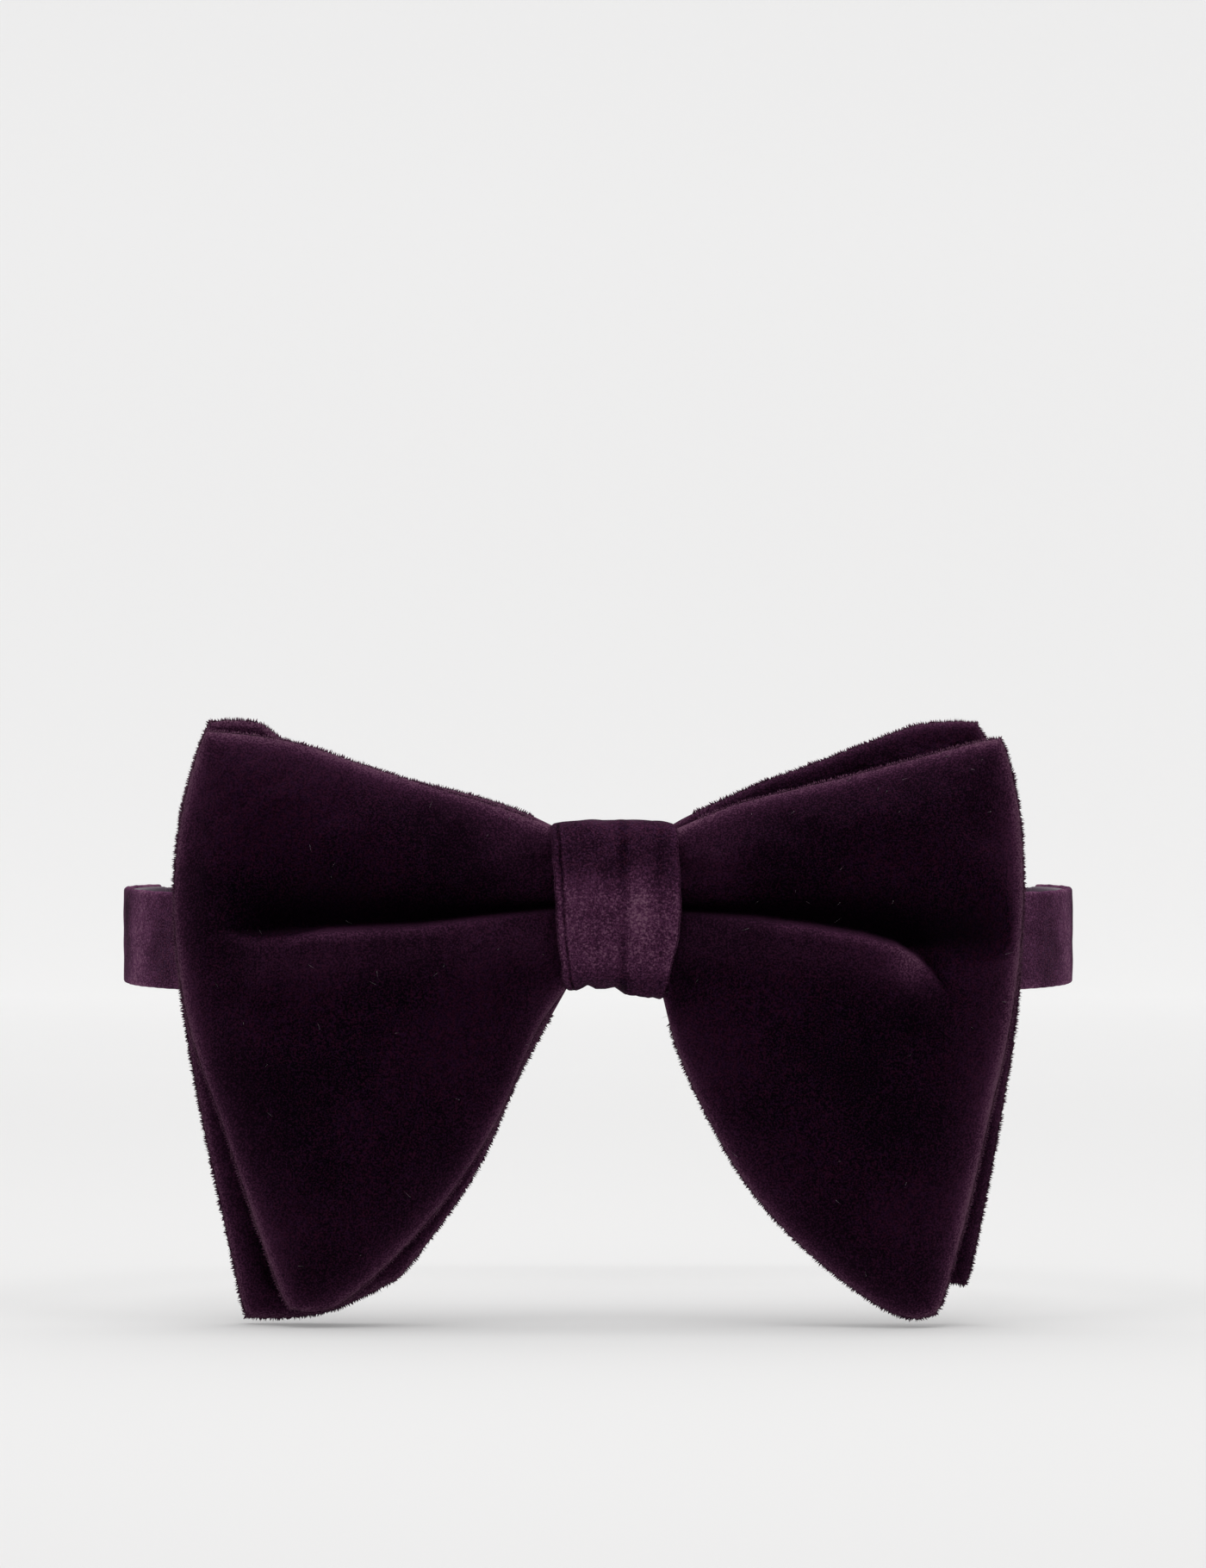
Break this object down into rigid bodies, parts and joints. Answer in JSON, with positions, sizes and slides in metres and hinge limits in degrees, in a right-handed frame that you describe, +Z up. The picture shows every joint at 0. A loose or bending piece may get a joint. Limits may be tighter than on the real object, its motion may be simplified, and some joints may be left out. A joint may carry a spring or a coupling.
{
  "type": "bow tie",
  "caption": "Wide drooping velvet bow tie with layered wings, a wrapped knot and an adjustable neck band closed by a hook and ring.",
  "frame": {"origin": "centre of the neck opening at half the band's height", "axes": "+X to the bow's right as seen from the front, +Y from the bow towards the back of the neck, +Z up through the neck opening"},
  "size_m": [0.162, 0.1068, 0.098],
  "materials": {
    "plum_velvet": "deep plum cotton velvet with a short soft pile",
    "bow_back_velvet": "the same velvet, seen in shade on the back panels and the gathered waist",
    "satin_lining": "smooth plum satin lining",
    "cotton_interlining": "stiff woven cotton interlining",
    "grosgrain_ribbon": "plum grosgrain ribbon with cross ribs",
    "sewing_thread": "twisted plum sewing thread",
    "nickel": "satin nickel plated steel"
  },
  "bodies": {
    "bow": {"rear_left_face": "plum_velvet", "rear_left_interlining": "cotton_interlining", "rear_left_back": "bow_back_velvet", "rear_right_face": "plum_velvet", "rear_right_interlining": "cotton_interlining", "rear_right_back": "bow_back_velvet", "front_left_face": "plum_velvet", "front_left_interlining": "cotton_interlining", "front_left_back": "bow_back_velvet", "front_right_face": "plum_velvet", "front_right_interlining": "cotton_interlining", "front_right_back": "bow_back_velvet", "rear_waist": "bow_back_velvet", "front_waist": "bow_back_velvet", "knot_wrap": "plum_velvet", "knot_lining": "satin_lining", "knot_stitches": "sewing_thread", "neck_band": "plum_velvet", "neck_band_lining": "satin_lining"},
    "left_strap": {"left_band_end": "plum_velvet", "left_ribbon": "grosgrain_ribbon", "left_join_stitches": "sewing_thread", "left_loop_stitches": "sewing_thread"},
    "eye": {"eye_ring": "nickel"},
    "right_strap": {"right_band_end": "plum_velvet", "right_ribbon": "grosgrain_ribbon", "right_join_stitches": "sewing_thread", "ribbon_run": "grosgrain_ribbon"},
    "hook_carrier": {"hook_loop": "grosgrain_ribbon", "ribbon_return": "grosgrain_ribbon"},
    "hook": {"hook": "nickel"},
    "slider": {"slider": "nickel", "slider_loop": "grosgrain_ribbon", "slider_stitches": "sewing_thread"}
  },
  "joints": [
    {"name": "left_strap_open", "type": "hinge", "parent": "bow", "child": "left_strap", "pos_m": [-0.08, 0, 0], "axis": [0, 0, 1], "range_deg": [0, 60]},
    {"name": "right_strap_open", "type": "hinge", "parent": "bow", "child": "right_strap", "pos_m": [0.08, 0, 0], "axis": [0, 0, -1], "range_deg": [0, 60]},
    {"name": "eye_swing", "type": "hinge", "parent": "left_strap", "child": "eye", "pos_m": [-0.0285, 0.04175, 0], "axis": [0, 0, -1], "range_deg": [0, 60]},
    {"name": "slider_slide", "type": "slide", "parent": "hook_carrier", "child": "slider", "axis": [1, 0, 0], "range_m": [0, 0.009], "deforming": ["ribbon_return"]},
    {"name": "hook_draw", "type": "slide", "parent": "right_strap", "child": "hook_carrier", "axis": [1, 0, 0], "range_m": [0, 0.009], "deforming": ["ribbon_run"]},
    {"name": "hook_swing", "type": "hinge", "parent": "hook_carrier", "child": "hook", "pos_m": [-0.008, 0.04175, 0], "axis": [0, 0, -1], "range_deg": [-4, 48]}
  ],
  "couplings": [
    {"joint": "right_strap_open", "follows": "left_strap_open", "ratio": 1},
    {"joint": "hook_draw", "follows": "slider_slide", "ratio": 1}
  ]
}
